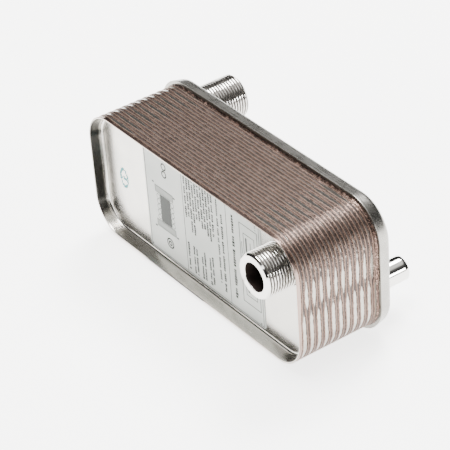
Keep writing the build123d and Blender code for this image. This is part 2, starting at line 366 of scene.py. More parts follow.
def rolled_finish(name, bright, dull, rough):
    """Rolled sheet: fine lines along x, duller where it was handled. The attribute stain gives the
    brown left by copper, and the second attribute a nearly black painted dark reflection."""
    finish = Finish(name, bright, rough)
    lines = finish.noise(ROLLING_LINE, stretch=(40, 1, 1))
    handling = finish.noise(HANDLING_MARK, detail=5.0)
    clean = finish.blend(finish.spread(handling, 0.0, 1.0), bright, dull)
    warm = finish.blend(finish.attribute("stain"), clean, STAIN_WARM)
    # Painted dark reflection: the second attribute blends the steel towards near black.
    finish.color(finish.blend(finish.attribute("sooty"), warm, DARK_REFLECTION_TINT))
    finish.roughness(finish.sum(finish.spread(lines, rough, rough + 0.06),
                                finish.spread(handling, 0.0, 0.06)))
    finish.bump(lines, 0.003)
    return finish


cover_finish = rolled_finish("rolled_stainless", STEEL, STEEL_DULL, 0.17)
heavy_finish = rolled_finish("heavy_stainless", HEAVY_STEEL, HEAVY_DULL, 0.22)

# %% [markdown]
# Copper has crept over a plate's outer wall and left it dark brown, with bright grains; the rim is
# copper, lightened by a painted highlight. Bare steel is left only where a gap has opened: where
# from_rim and to_seam are both above 0.

# %% Pressed plate, stained by copper along the rim
COPPER = (0.30, 0.185, 0.145)
COPPER_DARK = (0.035, 0.023, 0.019)
STAIN = (0.018, 0.013, 0.011)
STAIN_LIGHT = (0.05, 0.032, 0.026)
# A copper colour made lighter: the painted highlight of the rim's lip.
RIM_COPPER_HIGHLIGHT = (0.32, 0.22, 0.175)
PLATE_STEEL = (0.36, 0.34, 0.305)

plate_finish = Finish("copper_stained_plate", PLATE_STEEL, 0.3)
grain = plate_finish.noise(0.5, detail=4.0)
blotch = plate_finish.noise(3.0, detail=4.0)
clear_of_rims = plate_finish.sum(plate_finish.attribute("from_rim"), plate_finish.attribute("to_seam"),
                                 "MINIMUM")
bare = plate_finish.spread(plate_finish.sum(clear_of_rims, plate_finish.spread(blotch, -0.3, 0.3)),
                           0.0, 1.0, -0.1, 0.12)
stained = plate_finish.blend(plate_finish.spread(blotch, 0.0, 1.0), STAIN, STAIN_LIGHT)
speckled = plate_finish.blend(plate_finish.spread(grain, 0.0, 0.9, 0.64, 0.72), stained, COPPER)
# Painted highlight: the lip rows are lightened to a bright copper colour.
rim = plate_finish.attribute("rim")
stained_sheet_and_highlight = plate_finish.blend(rim, speckled, RIM_COPPER_HIGHLIGHT)
plate_finish.color(plate_finish.blend(bare, stained_sheet_and_highlight, PLATE_STEEL))
plate_finish.roughness(plate_finish.sum(plate_finish.spread(grain, 0.17, 0.27),
                                        plate_finish.spread(bare, 0.2, 0.0, 0.0, 1.0)))
plate_finish.metal(plate_finish.spread(plate_finish.sum(bare, rim), 0.6, 1.0, 0.0, 1.0))
plate_finish.bump(grain, 0.015)

# %% Grainy copper for the seams
COPPER_BRIGHT = (0.44, 0.30, 0.245)

seam_finish = Finish("grainy_copper", COPPER, 0.4)
seam_grain = seam_finish.noise(0.45, detail=4.0)
seam_tone = seam_finish.noise(4.0)
bright_copper = seam_finish.blend(seam_finish.spread(seam_tone, 0.0, 1.0), COPPER, COPPER_BRIGHT)
seam_finish.color(seam_finish.blend(seam_finish.spread(seam_grain, 0.0, 1.0, 0.5, 0.62), COPPER_DARK,
                                    bright_copper))
seam_finish.roughness(seam_finish.spread(seam_grain, 0.5, 0.28))
seam_finish.bump(seam_grain, 0.06)

# %% Turned and polished steel for the ports
PORT_STEEL = (0.68, 0.66, 0.63)
# Painted shade for the bore, the thread grooves and the neck.
BORE_SHADE = (0.035, 0.025, 0.022)
port_finish = Finish("turned_steel", PORT_STEEL, 0.1)
tool_marks = port_finish.noise(0.25, stretch=(60, 1, 60))
# The value inside paints shade: darker steel in the bore, the thread grooves and the neck.
inside = port_finish.attribute("inside")
port_finish.color(port_finish.blend(inside, PORT_STEEL, BORE_SHADE))
port_finish.roughness(port_finish.sum(port_finish.spread(tool_marks, 0.05, 0.12),
                                      port_finish.spread(inside, 0.0, 0.5, 0.0, 1.0)))
port_finish.bump(tool_marks, 0.002)

# %% Film and inks
FILM_GREY = (0.41, 0.425, 0.40)
FILM_LIGHT = (0.46, 0.47, 0.44)
INK_BLACK = (0.004, 0.004, 0.004)
STAMP_DARK = (0.04, 0.22, 0.24)
STAMP_PALE = (0.16, 0.36, 0.37)

film_finish = Finish("label_film", (0.43, 0.44, 0.415), 0.35, metallic=0.0)
film_tone = film_finish.spread(film_finish.noise(14.0), 0.0, 1.0)
film_finish.color(film_finish.blend(film_tone, FILM_GREY, FILM_LIGHT))
film_finish.roughness(film_finish.spread(film_finish.noise(1.5), 0.28, 0.42))

print_finish = Finish("printed_ink", (0.02, 0.02, 0.02), 0.6, metallic=0.0)
print_grain = print_finish.spread(print_finish.noise(0.4), -0.03, 0.03)
print_shade = print_finish.sum(print_finish.attribute("shade"), print_grain)
print_finish.color(print_finish.blend(print_shade, INK_BLACK, FILM_GREY))

stamp_finish = Finish("teal_stamp_ink", (0.08, 0.30, 0.32), 0.6, metallic=0.0)
stamp_tone = stamp_finish.spread(stamp_finish.noise(0.5), 0.0, 1.0)
stamp_finish.color(stamp_finish.blend(stamp_tone, STAMP_DARK, STAMP_PALE))

for finish, level in ((film_finish, 0.2), (print_finish, 0.1), (stamp_finish, 0.1)):
    finish.shader.inputs["Specular IOR Level"].default_value = level
print(len(bpy.data.materials), "materials")

# %% [markdown]
# ## A profile for every tray
#
# The two covers and all the plates are trays with a leaning flange, so one profile serves them all. It
# starts on the front floor beside the wall, climbs the wall's inside, turns over the lip, goes down
# the outside and ends on the back of the floor. Each row also says how much it follows the
# rim when the rim waves.

# %% Tray profile
RIM_BAND = 0.35


def tray_profile(edge, back, inset, sheet, inner_bend, outer_bend, lip):
    """Rows of (inset, y, follow, outside) over the rim of a tray, in mm; outside is 1 past the lip.
    The outer wall's inset grows from the edge by the flange slope; the inner wall is one sheet in."""
    def outer(y):
        return inset + (y - edge) * SLOPE

    def inner(y):
        return outer(y) + sheet * SPREAD

    floor = back - sheet
    rows = [curve((inner(floor) + inner_bend, floor), (inner(floor), floor),
                  (inner(floor - inner_bend), floor - inner_bend), 6)]
    climb = np.linspace(floor - inner_bend, edge + lip, 6)[1:]
    rows.append(np.stack([inner(climb), climb], axis=-1))
    rows.append(curve((inner(edge + lip), edge + lip), (inner(edge), edge), (inner(edge) - lip, edge), 4)[1:])
    rows.append(curve((outer(edge) + lip, edge), (outer(edge), edge), (outer(edge + lip), edge + lip), 4))
    descent = np.append(edge + lip + RIM_BAND, np.linspace(edge + lip, back - outer_bend, 8)[1:])
    rows.append(np.stack([outer(descent), descent], axis=-1))
    rows.append(curve((outer(back - outer_bend), back - outer_bend), (outer(back), back),
                      (outer(back) + outer_bend, back), 6)[1:])
    inner_count = sum(len(part) for part in rows[:3])
    rows = np.concatenate(rows)
    wall_end = floor - inner_bend
    follow = np.clip((wall_end - rows[:, 1]) / (wall_end - edge), 0, 1)
    outside = np.arange(len(rows)) >= inner_count
    return np.column_stack([rows, follow, outside])


def tray_rows(outline, profile, floor_steps, wave=0.0, relief=None):
    """All rings of a tray: front floor from the middle line outwards, rim, back floor inwards.
    The rim slides along its own flange by the wave. The relief lifts both floors towards the front."""
    share = np.linspace(0, 1, floor_steps + 1)[1:, None, None]
    front_edge = outline.ring(profile[0, 0], profile[0, 1])
    back_edge = outline.ring(profile[-1, 0], profile[-1, 1])
    front = front_edge * (1 - share) + outline.spine(profile[0, 1]) * share
    back = back_edge * (1 - share) + outline.spine(profile[-1, 1]) * share
    if relief is not None:
        front[..., 1] -= relief(front[..., 0], front[..., 2] - CENTRE_Z)
        back[..., 1] -= relief(back[..., 0], back[..., 2] - CENTRE_Z)
    rim = [outline.ring(inset + wave * SLOPE * follow, y + wave * follow) for inset, y, follow, _ in profile]
    return np.concatenate([front[::-1], rim, back])


# %% [markdown]
# ## How the rims wave
#
# When the pack is pressed together, the herringbone ridges of neighbouring plates lean on each
# other near the wall, and the soft rims give way. They move in pairs: on the upper half of an end,
# plates 1 and 2 draw together, on the lower half plates 2 and 3. Seen from the end, bright gaps
# open and close in a zigzag. The wave is made of smooth steps along the outline, with its sign turned
# from plate to plate, and a little seeded unevenness.

# %% Rim waves
WAVE_HEIGHT = 0.42
UNEVEN_HEIGHT = 0.07
CROSSING = 6.0
SIDE_BUMP_X = 66.0
SIDE_BUMP_HALF = 10.0
rng = np.random.default_rng(7)


def smooth_step(value):
    """0 below 0, 1 above 1, and a smooth S between."""
    value = np.clip(value, 0, 1)
    return value * value * (3 - 2 * value)


def uneven(outline, spacing, count=1):
    """Smooth random rows between -1 and 1, with a new value every so many mm."""
    knots = max(4, int(outline.length / spacing))
    values = rng.uniform(-1, 1, (count, knots))
    where = outline.along / outline.length * knots
    before = np.floor(where).astype(int)
    share = where - before
    share = share * share * (3 - 2 * share)
    return values[:, before % knots] * (1 - share) + values[:, (before + 1) % knots] * share


def end_wave(outline):
    """Zigzag of the rims. On an end the wave is +1 above the middle and -1 below it, fading out into
    the corners; on the long sides it is a bump about 18 mm long near each port."""
    x = outline.x + CORNER * outline.normal_x
    z = outline.z + CORNER * outline.normal_z
    right = x > 0
    endwise = np.abs(outline.normal_x)
    above = smooth_step(z / CROSSING) * np.where(right, 1 - smooth_step((z - 10) / 12),
                                                 smooth_step((endwise - 0.05) / 0.25))
    below = smooth_step(-z / CROSSING) * (1 - smooth_step((-z - 24) / 14))
    side = (1 - endwise) * np.exp(-((np.abs(x) - SIDE_BUMP_X) / SIDE_BUMP_HALF) ** 4)
    return (above - below) * (endwise > 0.05) + side * np.sign(x * z)


def rim_wave(outline, number, unevenness):
    """How far the rim of one plate is moved to the rear, in mm, at each station."""
    turn = 1 if number % 2 else -1
    return WAVE_HEIGHT * turn * end_wave(outline) + UNEVEN_HEIGHT * unevenness


# %% [markdown]
# ## Channel plates
#
# Each plate is 0.4 mm steel pressed into a herringbone: ridges that run up to the middle line and
# down again, as chevrons. The next plate is turned by half a turn, so that the ridges cross and touch
# like a lattice, and the water is stirred between them. Round the ports the floor is flat, high or low,
# so that only every second channel is open to a port.
#
# The floor is a height field: a rounded trapezoid wave of the distance across the ridges, blended
# into flat pads. Modelling each ridge as a solid would need a hundred times the faces.

# %% Plate relief
RIDGE_PERIOD = 10.0
RIDGE_LEAN = radians(60)
RIDGE_HEIGHT = PITCH - SHEET - 0.02
PAD_RADIUS = 15.0
HOLE_RADIUS = 9.0
WALL_MARGIN = 4.0
corners = [(side_x * PORT_X, side_z * PORT_Z) for side_x in (1, -1) for side_z in (1, -1)]


def plate_relief(turn):
    """Height of the pressed floor over its lowest face, for an upright (1) or turned (-1) plate.
    Across a ridge the height is a smoothed trapezoid of the phase (x + |z| / tan(lean)) / period."""
    def relief(x, z):
        x, z = x * turn, z * turn
        phase = (x + np.abs(z) / tan(RIDGE_LEAN)) / RIDGE_PERIOD
        height = RIDGE_HEIGHT * smooth_step(0.5 + 0.9 * np.cos(2 * pi * phase))
        for port_x, port_z in corners:
            away = np.hypot(x - port_x, z - port_z)
            flat = smooth_step((PAD_RADIUS + 1 - away) / 2)
            height = height * (1 - flat) + (0 if port_z > 0 else RIDGE_HEIGHT) * flat
        centre_x = np.maximum(np.abs(x) - (HALF_LENGTH - CORNER), 0)
        centre_z = np.maximum(np.abs(z) - (HALF_WIDTH - CORNER), 0)
        to_wall = CORNER - np.hypot(centre_x, centre_z)
        return height * smooth_step((to_wall - 2.5) / WALL_MARGIN)
    return relief


# %% Where the steel stays bare
BARE_SHARE = 1.25
BARE_MARGIN = 0.05
SEAM_RUN = 0.55
FLOOR_ROWS = 16
NOT_OUTSIDE = -50.0


def bare_band(profile, opening):
    """Two values per point, whose smaller is above 0 inside the bare band of the outer wall.
    The band lies midway between this rim and the next seam, and its half width is a share of how far
    the gap has opened: a closed gap has none, an open one is bare but for its stained edges."""
    half = BARE_SHARE * opening[None, :] - BARE_MARGIN
    middle = (PITCH + opening[None, :] - SEAM_RUN) / 2
    reach = np.where(profile[:, 3] > 0, profile[:, 1] - profile[:, 1].min(), NOT_OUTSIDE)
    floor_rows = np.full(FLOOR_ROWS, NOT_OUTSIDE)
    reach = np.concatenate([floor_rows, reach, floor_rows])[:, None]
    return reach - middle + half, np.broadcast_to(middle + half - reach, (len(reach), opening.size))


# %% Make the plates
PLATE_BEND = 0.8
PLATE_LIP = 0.1
plate_bumps = uneven(coarse, 11.0, PLATE_COUNT + 1)
plate_triangles = 0
for number in range(1, PLATE_COUNT + 1):
    node = f"channel_plate_{number:02d}"
    low, high = (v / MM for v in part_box(node))
    wave = rim_wave(coarse, number, plate_bumps[number])
    profile = tray_profile(low.y, high.y, 0.0, SHEET, PLATE_BEND, PLATE_BEND + SHEET, PLATE_LIP)
    relief = plate_relief(1 if number % 2 else -1)
    rows = tray_rows(coarse, profile, FLOOR_ROWS, wave, relief)
    after = rim_wave(coarse, number + 1, plate_bumps[min(number + 1, PLATE_COUNT)])
    from_rim, to_seam = bare_band(profile, after - wave)
    # The lip rows get the rim's painted highlight.
    lip_highlight = np.zeros(rows.shape[:2])
    lip_highlight[FLOOR_ROWS:-FLOOR_ROWS] = (profile[:, 1] < low.y + PLATE_LIP + 0.01)[:, None]
    port_holes = [(x, z, HOLE_RADIUS) for x, z in corners]
    plate = tray(f"plate_{number:02d}", rows, FLOOR_ROWS, port_holes, plate_finish.material,
                 "pressed_plate", node, from_rim=from_rim, to_seam=to_seam, rim=lip_highlight)
    plate_triangles += 2 * len(plate.data.polygons)
print(f"{PLATE_COUNT} plates, {plate_triangles} triangles")

# %% [markdown]
# ## Copper seams
#
# A foil of copper lies between the plates when the pack goes into the furnace. It melts, is drawn
# into every gap, and leaves a fillet in front of each rim that is never quite even. A seam is one
# closed tube: the thin film between two flanges, and the fillet, whose reach and height
# follow seeded noise of two lengths, as grains and as long swells.

# %% Seams
SEAM_STEP = 0.22
SEAM_DEPTH = 6.0


def seam_rows(outline, edge, wall_inset, film, run, step, depth, wave):
    """Rings of one seam. The foot line is the wall that the copper lies on; its inset at the edge
    is wall_inset, and it leans as every flange does."""
    swell = uneven(outline, 7.0)[0]
    grain = uneven(outline, 1.3, 3)
    run = run * (1 + 0.25 * swell + 0.25 * grain[0])
    step = step * (1 + 0.12 * swell + 0.16 * grain[1])

    def foot(y):
        return wall_inset + (y - edge) * SLOPE

    edge_y = edge + wave
    start_y = edge_y - run
    middle_y = edge_y - 0.45 * run
    middle_rise = step * (0.42 + 0.16 * grain[2])
    return np.stack([outline.ring(foot(start_y), start_y),
                     outline.ring(foot(middle_y) - middle_rise, middle_y),
                     outline.ring(foot(edge_y) - step, edge_y - 0.04 * run),
                     outline.ring(foot(edge_y) - step * 0.9, edge_y),
                     outline.ring(foot(edge_y) - film * SPREAD, edge_y),
                     outline.ring(foot(edge + depth) - film * SPREAD, edge + depth),
                     outline.ring(foot(edge + depth), edge + depth)])


seam_triangles = 0
seam_bumps = np.stack([np.interp(fine.along, coarse.along, row) for row in plate_bumps])
for number in range(1, PLATE_COUNT + 1):
    node = f"copper_braze_{number:02d}"
    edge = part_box(f"channel_plate_{number:02d}")[0].y / MM
    wave = rim_wave(fine, number, seam_bumps[number])
    rows = seam_rows(fine, edge, (SHEET + FILM) * SPREAD, FILM, SEAM_RUN, SEAM_STEP, SEAM_DEPTH, wave)
    seam = tube(f"seam_{number:02d}", rows, seam_finish.material, "copper_braze", node)
    seam_triangles += 2 * len(seam.data.polygons)
print(f"{PLATE_COUNT} seams, {seam_triangles} triangles")

# %% [markdown]
# ## Covers
#
# The front cover is a plain tray of 1 mm sheet, seen from its open side, and the rear cover
# a heavier tray whose whole flange stands proud of the pack. Both are the tray profile with
# other numbers, so the same rolled sheet bends round the same corners. The front cover is stained
# brown outside, and the inner wall of its left end is painted almost black as a painted dark reflection.

# %% Covers
FRONT_SHEET = 1.0
FRONT_BEND = 1.6
REAR_SHEET = 2.5
REAR_BEND = 3.2
REAR_INNER_BEND = 0.4
LIP = 0.25
SPIGOT_RADIUS = 11.0
SOLDER_RADIUS = 7.25
PORT_FIT = 0.05
COVER_ROWS = 20

smooth = Outline(512)
profile = tray_profile(front_low.y, front_high.y,
                       (SHEET + FILM) * SPREAD - (first_low.y - front_low.y) * SLOPE,
                       FRONT_SHEET, FRONT_BEND, FRONT_BEND + FRONT_SHEET, LIP)
rows = tray_rows(smooth, profile, COVER_ROWS)
inside_floor, back_floor = np.zeros(COVER_ROWS), np.ones(COVER_ROWS)
stained_rows = np.concatenate([inside_floor, profile[:, 3], back_floor])
stain = np.repeat(0.85 * stained_rows[:, None], smooth.count, axis=1)
# Painted dark reflection: the inner wall of the left end is painted nearly black.
inner_wall = (1 - profile[:, 3]) * smooth_step(profile[:, 2] * 8)
sooty_rows = np.concatenate([inside_floor, inner_wall, 0 * back_floor])
sooty = 0.95 * sooty_rows[:, None] * smooth_step((-smooth.normal_x - 0.55) / 0.35)[None, :]
tray("front_tray", rows, COVER_ROWS, [(PORT_X, PORT_Z, SPIGOT_RADIUS + PORT_FIT)], cover_finish.material,
     "cover_steel", "front_cover", stain=stain, sooty=sooty)

rear_inset = HALF_LENGTH - rear_high.x
rear_rows = tray_rows(smooth, tray_profile(rear_low.y, rear_high.y, rear_inset + 0.01, REAR_SHEET,
                                           REAR_INNER_BEND, REAR_BEND, LIP), COVER_ROWS)
rear_holes = [(-PORT_X, PORT_Z, SPIGOT_RADIUS + PORT_FIT), (PORT_X, -PORT_Z, SOLDER_RADIUS + PORT_FIT),
              (-PORT_X, -PORT_Z, SOLDER_RADIUS + PORT_FIT)]
clean = np.zeros(rear_rows.shape[:2])
tray("rear_tray", rear_rows, COVER_ROWS, rear_holes, heavy_finish.material, "cover_steel",
     "rear_cover", stain=clean, sooty=clean)
print("covers made; the rear flange stands", round(-rear_inset, 2), "mm proud")

# %% The seam of the rear cover
last_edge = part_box(f"channel_plate_{PLATE_COUNT:02d}")[0].y / MM
rear_wave = np.zeros(fine.count)
last_foot = (rear_low.y - last_edge) * SLOPE
rows = seam_rows(fine, rear_low.y, last_foot, 0.5, 1.2, 1.0, 5.0, rear_wave)
tube("seam_rear", rows, seam_finish.material, "copper_braze", f"copper_braze_{PLATE_COUNT + 1:02d}")

# %% [markdown]
# ## Ports
#
# Turned parts are surfaces of revolution: a profile of radius over length, carried round an axis.
# The pipe thread is cut into that surface. Its radius at a point depends on how far the point
# lies between two crests of a helix, which moves by one pitch in one turn. The groove fades in at
# the mouth and out at the neck, as under a real die. Grooves, neck and bore carry a value that
# darkens the steel as painted shade.

# %% Turned parts
THREAD_PITCH = 1.814
THREAD_DEPTH = 1.1
NIPPLE_RADIUS = 13.2
NIPPLE_BORE = 8.2
NIPPLE_NECK = 2.2
NIPPLE_NECK_RADIUS = 12.0
NIPPLE_CHAMFER = 1.0
# Shares of painted shade on the neck and in the thread grooves.
NECK_SHADE = 0.75
GROOVE_SHADE = 0.85


def turned(x, z, direction, base, profile, thread=None, count=160):
    """Rings of a turned part that stands on y = base and points along direction (+1 or -1), and how
    deep each point lies in a groove. The profile is rows of (height over the base, radius);
    thread is its (start, end) height."""
    profile = np.array(profile, float)
    turn = np.arange(count) / count
    radius = np.repeat(profile[:, 1:2], count, axis=1)
    cut = np.zeros_like(radius)
    if thread is not None:
        start, end = thread
        on_barrel = (profile[:, 0] >= start) & (profile[:, 0] <= end) & (profile[:, 1] > NIPPLE_BORE + 1)
        phase = profile[:, :1] / THREAD_PITCH - turn * direction
        groove = 0.5 + 0.62 * np.cos(2 * pi * phase)
        fade = smooth_step((profile[:, :1] - start) / 0.6) * smooth_step((end - profile[:, :1]) / 0.5)
        cut = smooth_step(groove) * fade * on_barrel[:, None]
        radius = radius - THREAD_DEPTH * cut
    angle = 2 * pi * turn
    ring_x = x + radius * np.cos(angle)
    ring_z = CENTRE_Z + z + radius * np.sin(angle)
    ring_y = np.repeat(base + direction * profile[:, :1], count, axis=1)
    return np.stack([ring_x, ring_y, ring_z], axis=-1), cut


def in_bore(profile, radius, rows):
    """1 on the rows of a turned part that lie in its bore, 0 outside it."""
    deep = (np.array(profile)[:, 1] < radius + 0.01).astype(float)
    return np.repeat(deep[:, None], rows.shape[1], axis=1)


def nipple_profile(length, spigot):
    """Spigot below the cover's face, neck, barrel in fine steps for the thread, chamfered mouth, bore."""
    barrel_start, barrel_end = NIPPLE_NECK, length - NIPPLE_CHAMFER
    steps = int((barrel_end - barrel_start) / THREAD_PITCH * 14)
    rows = [(-spigot, NIPPLE_BORE), (-spigot, SPIGOT_RADIUS), (0, SPIGOT_RADIUS), (0, NIPPLE_NECK_RADIUS)]
    rows += [(barrel_start - 0.3, NIPPLE_NECK_RADIUS)]
    rows += [(y, NIPPLE_RADIUS) for y in np.linspace(barrel_start, barrel_end, steps)]
    rows += [(length - 0.06, NIPPLE_RADIUS - NIPPLE_CHAMFER + 0.06), (length, NIPPLE_RADIUS - NIPPLE_CHAMFER)]
    rows += [(length, NIPPLE_BORE + 0.3), (length - 0.3, NIPPLE_BORE + 0.02), (length - 0.4, NIPPLE_BORE)]
    return rows, (barrel_start, barrel_end + 0.2)


front_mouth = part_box("threaded_port_front")[0].y / MM
rear_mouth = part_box("threaded_port_rear")[1].y / MM
front_floor = front_high.y - FRONT_SHEET
for name, x, direction, base, mouth, spigot in (
        ("front", PORT_X, -1, front_floor, front_mouth, FRONT_SHEET),
        ("rear", -PORT_X, 1, rear_high.y, rear_mouth, REAR_SHEET)):
    profile, thread = nipple_profile(abs(mouth - base), spigot)
    rows, cut = turned(x, PORT_Z, direction, base, profile, thread)
    # Painted shade: neck, thread grooves and bore darken the steel.
    neck = np.array([NECK_SHADE * (-spigot <= y < NIPPLE_NECK and r > NIPPLE_BORE + 1) for y, r in profile])
    dark = np.maximum(in_bore(profile, NIPPLE_BORE, rows), np.maximum(GROOVE_SHADE * cut, neck[:, None]))
    tube(f"nipple_{name}", rows, port_finish.material, "port_steel", f"threaded_port_{name}", inside=dark)

# %% Solder ports
SOLDER_SOCKET_RADIUS = 6.4
SOLDER_SOCKET = 14.0
SOLDER_BORE = 5.2
SOLDER_CHAMFER = 0.35

for side, x in (("right", PORT_X), ("left", -PORT_X)):
    node = f"solder_port_{side}"
    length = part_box(node)[1].y / MM - rear_high.y
    floor = length - SOLDER_SOCKET
    profile = [(-REAR_SHEET, SOLDER_BORE), (-REAR_SHEET, SOLDER_RADIUS)]
    profile += [(y, SOLDER_RADIUS) for y in np.linspace(0, length - SOLDER_CHAMFER, 12)]
    profile += [(length - 0.1, SOLDER_RADIUS - 0.15), (length, SOLDER_RADIUS - SOLDER_CHAMFER)]
    profile += [(length, SOLDER_SOCKET_RADIUS + 0.15), (length - 0.15, SOLDER_SOCKET_RADIUS)]
    profile += [(floor, SOLDER_SOCKET_RADIUS), (floor, SOLDER_BORE)]
    rows, _ = turned(x, -PORT_Z, 1, rear_high.y, profile, count=96)
    # Painted shade inside the socket.
    tube(f"solder_tube_{side}", rows, port_finish.material, "port_steel", node,
         inside=0.8 * in_bore(profile, SOLDER_SOCKET_RADIUS, rows))

# %% [markdown]
# Where a port stands on its cover, the same copper leaves a hollow fillet. It is a small turned ring
# with a concave face, whose size wanders a little round the port.

# %% Port fillets
PORT_BRAZE = 1.0


def port_fillet(name, x, z, direction, base, radius, node):
    count = 96
    turn = np.arange(count) / count * 2 * pi
    wander = 1 - 0.12 * (1 + np.sin(3 * turn + x) * np.cos(5 * turn)) / 2
    face = curve((0, radius + PORT_BRAZE), (0.15, radius + 0.15), (PORT_BRAZE, radius), 6)
    rows = []
    for height, reach in [*face, (0.0, radius)]:
        ring_radius = radius + (reach - radius) * wander
        rows.append(np.stack([x + ring_radius * np.cos(turn), base + direction * height * wander,
                              CENTRE_Z + z + ring_radius * np.sin(turn)], axis=-1))
    return tube(name, rows, seam_finish.material, "copper_braze", node)


port_fillet("fillet_front", PORT_X, PORT_Z, -1, front_floor, NIPPLE_NECK_RADIUS, "port_braze_front")
port_fillet("fillet_rear", -PORT_X, PORT_Z, 1, rear_high.y, NIPPLE_NECK_RADIUS, "port_braze_rear")
port_fillet("fillet_right", PORT_X, -PORT_Z, 1, rear_high.y, SOLDER_RADIUS, "port_braze_right")
port_fillet("fillet_left", -PORT_X, -PORT_Z, 1, rear_high.y, SOLDER_RADIUS, "port_braze_left")
print("ports made")

# %% [markdown]
# ## Label
#
# The label is a thin film stuck to the floor of the front cover. Its printing is made generic: lines of
# greeked words, a block diagram and plain marks, each a flat chip of ink a few hundredths of a
# millimetre thick. One mesh holds all the ink, and a value on each point says how grey it is.

# %% Label film
label_low, label_high = (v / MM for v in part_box("data_label"))
INK = 0.02
LABEL_CORNER = 2.5


def film_rows(low, high, corner, y_front, y_back, count=64):
    """Rings of a thin film with rounded corners: middle line, front rim, back rim, middle line.
    A corner is an arc about a point that lies one corner radius inside."""
    turn = np.arange(count) / count * 2 * pi
    half_x, half_z = (high.x - low.x) / 2, (high.z - low.z) / 2
    x = np.sign(np.cos(turn)) * (half_x - corner) + corner * np.cos(turn) + (high.x + low.x) / 2
    z = np.sign(np.sin(turn)) * (half_z - corner) + corner * np.sin(turn) + (high.z + low.z) / 2
    share = np.minimum(np.arange(count), count - np.arange(count)) / (count // 2)
    spine = (high.x + low.x) / 2 + (half_x - half_z) * (1 - 2 * share)
    middle = (high.z + low.z) / 2
    return [np.stack(np.broadcast_arrays(*ring), axis=-1)
            for ring in ((spine, y_front, middle), (x, y_front, z), (x, y_back, z), (spine, y_back, middle))]


film_front = label_low.y + INK
tray("label_sheet", film_rows(label_low, label_high, LABEL_CORNER, film_front, label_high.y), 1, [],
     film_finish.material, "label_film", "data_label")

# %% Chips of ink


def chips(name, boxes, shades, y_front, thickness, material, slot, *nodes):
    """Flat chips as closed boxes in one mesh. A box is (x, z, half_x, half_z) in mm."""
    boxes = np.array(boxes, float)
    signs = np.array([(-1, -1), (1, -1), (1, 1), (-1, 1)])
    x = boxes[:, 0:1] + boxes[:, 2:3] * signs[:, 0]
    z = boxes[:, 1:2] + boxes[:, 3:4] * signs[:, 1] + CENTRE_Z
    front = np.stack(np.broadcast_arrays(x, y_front, z), axis=-1)
    points = np.concatenate([front, front + (0, thickness, 0)], axis=1).reshape(-1, 3)
    quads = np.array([(0, 1, 2, 3), (7, 6, 5, 4), (1, 0, 4, 5), (2, 1, 5, 6), (3, 2, 6, 7), (0, 3, 7, 4)])
    faces = (np.arange(len(boxes)) * 8)[:, None, None] + quads
    return build(name, points, faces.reshape(-1, 4), material, slot, *nodes,
                 shade=np.repeat(np.array(shades, float), 8))


class Printing:
    """Collects chips in label coordinates: x along the plates, z up from the middle line."""

    def __init__(self):
        self.boxes, self.shades = [], []

    def bar(self, x0, z0, x1, z1, shade=0.0):
        self.boxes.append(((x0 + x1) / 2, (z0 + z1) / 2, abs(x1 - x0) / 2, abs(z1 - z0) / 2))
        self.shades.append(shade)

    def frame(self, x0, z0, x1, z1, line=0.5, shade=0.0):
        for a, b, c, d in ((x0, z0, x1, z0 + line), (x0, z1 - line, x1, z1),
                           (x0, z0 + line, x0 + line, z1 - line), (x1 - line, z0 + line, x1, z1 - line)):
            self.bar(a, b, c, d, shade)

    def words(self, x, top, bottom, height, shade=0.12):
        """A greeked line that runs down from top: blocks of uneven height in words of uneven length."""
        z = top
        while z > bottom:
            for _ in range(rng.integers(3, 9)):
                width = height * rng.uniform(0.35, 0.65)
                tall = height * rng.uniform(0.36, 0.5)
                if z - width < bottom:
                    return
                self.bar(x - tall, z - width, x + tall * rng.uniform(0.5, 1), z, shade)
                z -= width + 0.14 * height
            z -= 0.6 * height

    def ring(self, x, z, radius, line, shade=0.0, count=28):
        """A round mark made of small chips, side by side."""
        for turn in np.arange(count) / count * 2 * pi:
            cx, cz = x + radius * cos(turn), z + radius * sin(turn)
            self.bar(cx - line, cz - line, cx + line, cz + line, shade)


# %% Print the label
ink = Printing()
ink.frame(-51.3, -34.7, 55.5, 34.7, 0.4)
ink.bar(56.7, -34.7, 56.95, 34.7)
ink.bar(-15.5, -34.4, -15.1, 34.4)
ink.bar(25.5, -34.4, 25.9, 34.4)

# Left column: two plain marks, a block picture with scalloped sides, and a round mark
for z in (26.5, 21.5):
    ink.ring(-32.5, z, 2.0, 0.42, 0.0, 18)
ink.bar(-43, 5.8, -25.5, 10.6, 0.66)
ink.frame(-43, 5.8, -25.5, 10.6, 0.4, 0.2)
ink.bar(-43.5, -17.5, -25.0, -12.7, 0.66)
ink.frame(-43.5, -17.5, -25.0, -12.7, 0.4, 0.2)
ink.bar(-38.6, -12.5, -28.6, 5.6, 0.16)
for z in np.linspace(3.5, -10.5, 5):
    for x in (-40.3, -26.9):
        ink.ring(x, z, 1.5, 0.22, 0.2, 16)
for x, z in ((-44.6, 11.6), (-24.4, 9.4), (-44.9, -18.3), (-23.6, -17.0)):
    ink.bar(x - 0.9, z - 0.5, x + 0.9, z + 0.5, 0.1)
ink.ring(-31.8, -24.5, 3.0, 0.4, 0.0, 30)
ink.ring(-31.8, -24.5, 1.3, 0.4, 0.0, 14)
for x, z in ((-50.2, 32.5), (-50.2, -33.4), (52.9, 33.4), (53.0, -33.4)):
    ink.bar(x - 0.5, z - 0.5, x + 0.5, z + 0.5, 0.1)

# Middle column: long lines above, short groups below, two bold ones
for number, x in enumerate(np.arange(-12.8, 14.5, 2.55)):
    ink.words(x, 33, 33 - rng.uniform(26, 40), 2.0, 0.0)
    if number % 3 != 1:
        ink.words(x, -12 - rng.uniform(0, 6), -33, 1.9, 0.0)
ink.words(17.4, 30, -26, 2.0, 0.1)
ink.words(21.4, 22, -30, 2.2, 0.05)

